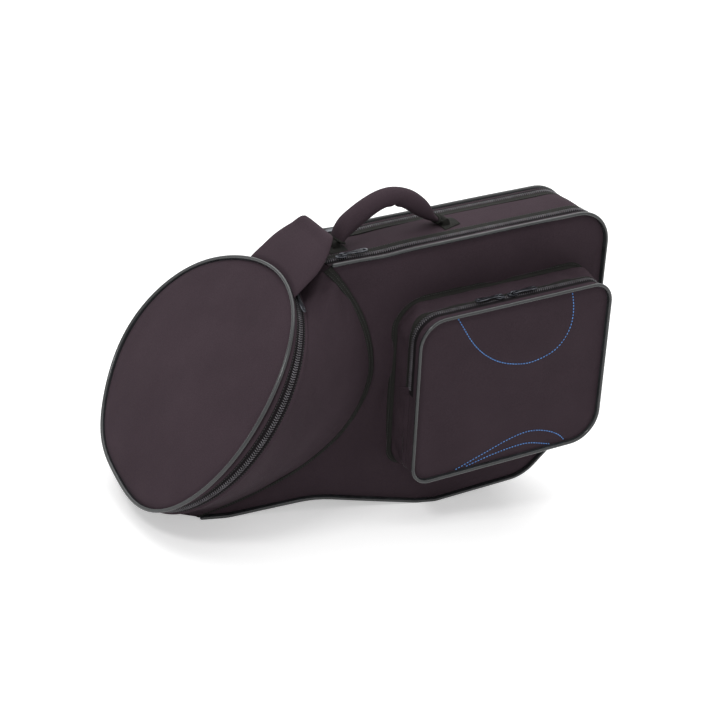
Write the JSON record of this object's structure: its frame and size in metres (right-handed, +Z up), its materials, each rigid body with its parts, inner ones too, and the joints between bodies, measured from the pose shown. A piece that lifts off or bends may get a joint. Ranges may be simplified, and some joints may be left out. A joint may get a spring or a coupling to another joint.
{
  "type": "french horn gig bag",
  "caption": "Padded soft bag shaped to a french horn, with a round zippered bell lid, closing flap, side-opening main lid, zippered front pocket and padded top handle.",
  "frame": {"origin": "middle of the bag's base, on the surface that it stands on", "axes": "+X along the bag from the bell end to the narrow end, +Y from the pocket side to the plain rear side, +Z up"},
  "size_m": [0.6874, 0.3482, 0.4415],
  "materials": {
    "body_fabric": "matte woven, dark aubergine brown",
    "tape": "matte ribbed binding tape, near black",
    "piping": "semi-gloss cord cover, dark grey",
    "zip_coil": "fine toothed coil, near black",
    "slider_metal": "gunmetal, satin",
    "foam": "grey padding behind brushed lining",
    "lining": "brushed lining, charcoal"
  },
  "bodies": {
    "shell": {"gusset_cover": "body_fabric", "gusset_foam": "foam", "edge_tapes": "tape", "main_zip_body_row": "zip_coil", "rear_zip_body_row": "zip_coil", "back_wall": "lining", "bottom_cradle": "foam", "end_cushion": "foam", "retaining_strap": "tape", "cone_rear_cover": "body_fabric", "cone_rear_foam": "foam", "cone_rear_binding": "tape", "rim_band_rear": "body_fabric", "bell_zip_rim_row_rear": "zip_coil", "handle_anchors": "tape", "flap_loop_patch": "tape"},
    "front_lid": {"front_panel_cover": "body_fabric", "front_panel_foam": "foam", "front_panel_lining": "lining", "front_border": "body_fabric", "front_border_foam": "foam", "front_piping": "piping", "main_zip_lid_row": "zip_coil", "cone_front_cover": "body_fabric", "cone_front_foam": "foam", "cone_front_binding": "tape", "rim_band_front": "body_fabric", "bell_zip_rim_row_front": "zip_coil", "pocket_gusset": "body_fabric", "pocket_base_binding": "tape", "pocket_zip_base_row": "zip_coil"},
    "pocket_front": {"pocket_front_cover": "body_fabric", "pocket_front_foam": "foam", "pocket_front_border": "body_fabric", "pocket_piping": "piping", "pocket_zip_front_row": "zip_coil"},
    "bell_lid": {"bell_lid_cover": "body_fabric", "bell_lid_foam": "foam", "bell_lid_band": "body_fabric", "bell_lid_piping": "piping", "bell_zip_lid_row": "zip_coil"},
    "flap": {"closing_flap": "body_fabric", "flap_hook_tongue": "tape"},
    "rear_cover": {"rear_panel": "body_fabric", "rear_border": "body_fabric", "rear_piping": "piping", "rear_zip_cover_row": "zip_coil"},
    "handle": {"handle_grip": "body_fabric", "handle_webbing": "tape"},
    "main_slider": {"main_slider": "slider_metal"},
    "main_pull": {"main_pull": "slider_metal"},
    "rear_slider": {"rear_slider": "slider_metal"},
    "rear_pull": {"rear_pull": "slider_metal"},
    "pocket_left_slider": {"pocket_left_slider": "slider_metal"},
    "pocket_left_pull": {"pocket_left_pull": "slider_metal"},
    "pocket_right_slider": {"pocket_right_slider": "slider_metal"},
    "pocket_right_pull": {"pocket_right_pull": "slider_metal"},
    "bell_slider": {"bell_slider": "slider_metal"},
    "bell_pull": {"bell_pull": "slider_metal"}
  },
  "joints": [
    {"name": "front_lid_hinge", "type": "hinge", "parent": "shell", "child": "front_lid", "pos_m": [0, -0.037, 0.0036], "axis": [1, 0, 0], "range_deg": [0, 70]},
    {"name": "rear_cover_hinge", "type": "hinge", "parent": "shell", "child": "rear_cover", "pos_m": [0, 0.037, 0.0036], "axis": [-1, 0, 0], "range_deg": [0, 70]},
    {"name": "bell_lid_hinge", "type": "hinge", "parent": "shell", "child": "bell_lid", "pos_m": [-0.25059, 0.1725, 0.17101], "axis": [-0.4352, 0, -0.9003], "range_deg": [0, 110]},
    {"name": "flap_hinge", "type": "hinge", "parent": "bell_lid", "child": "flap", "pos_m": [-0.19058, 0, 0.33581], "axis": [0, -1, 0], "range_deg": [0, 120]},
    {"name": "pocket_front_hinge", "type": "hinge", "parent": "front_lid", "child": "pocket_front", "pos_m": [0.1706, -0.094, 0.09546], "axis": [0.9799, 0, 0.1994], "range_deg": [0, 75]},
    {"name": "handle_hinge", "type": "hinge", "parent": "shell", "child": "handle", "pos_m": [-0.02145, 0, 0.37733], "axis": [0.9799, 0, 0.1994], "range_deg": [-50, 50]},
    {"name": "main_slider_travel", "type": "slide", "parent": "shell", "child": "main_slider", "axis": [0.9799, 0, 0.1994], "range_m": [0, 0.33]},
    {"name": "rear_slider_travel", "type": "slide", "parent": "shell", "child": "rear_slider", "axis": [0.9799, 0, 0.1994], "range_m": [0, 0.33]},
    {"name": "pocket_left_slider_travel", "type": "slide", "parent": "front_lid", "child": "pocket_left_slider", "axis": [-0.9799, 0, -0.1994], "range_m": [0, 0.085]},
    {"name": "pocket_right_slider_travel", "type": "slide", "parent": "front_lid", "child": "pocket_right_slider", "axis": [0.9799, 0, 0.1994], "range_m": [0, 0.105]},
    {"name": "bell_slider_travel", "type": "hinge", "parent": "bell_lid", "child": "bell_slider", "pos_m": [-0.26499, 0, 0.17797], "axis": [0.9003, 0, -0.4352], "range_deg": [0, 160]},
    {"name": "main_pull_hinge", "type": "hinge", "parent": "main_slider", "child": "main_pull", "pos_m": [-0.10993, -0.037, 0.3583], "axis": [0, -1, 0], "range_deg": [0, 95]},
    {"name": "rear_pull_hinge", "type": "hinge", "parent": "rear_slider", "child": "rear_pull", "pos_m": [-0.10993, 0.037, 0.3583], "axis": [0, -1, 0], "range_deg": [0, 95]},
    {"name": "pocket_left_pull_hinge", "type": "hinge", "parent": "pocket_left_slider", "child": "pocket_left_pull", "pos_m": [0.10688, -0.094, 0.32588], "axis": [0, 1, 0], "range_deg": [0, 100]},
    {"name": "pocket_right_pull_hinge", "type": "hinge", "parent": "pocket_right_slider", "child": "pocket_right_pull", "pos_m": [0.12599, -0.094, 0.32977], "axis": [0, -1, 0], "range_deg": [0, 100]},
    {"name": "bell_pull_hinge", "type": "hinge", "parent": "bell_slider", "child": "bell_pull", "pos_m": [-0.17881, -0.06003, 0.31948], "axis": [-0.9003, 0, 0.4352], "range_deg": [0, 35]}
  ]
}
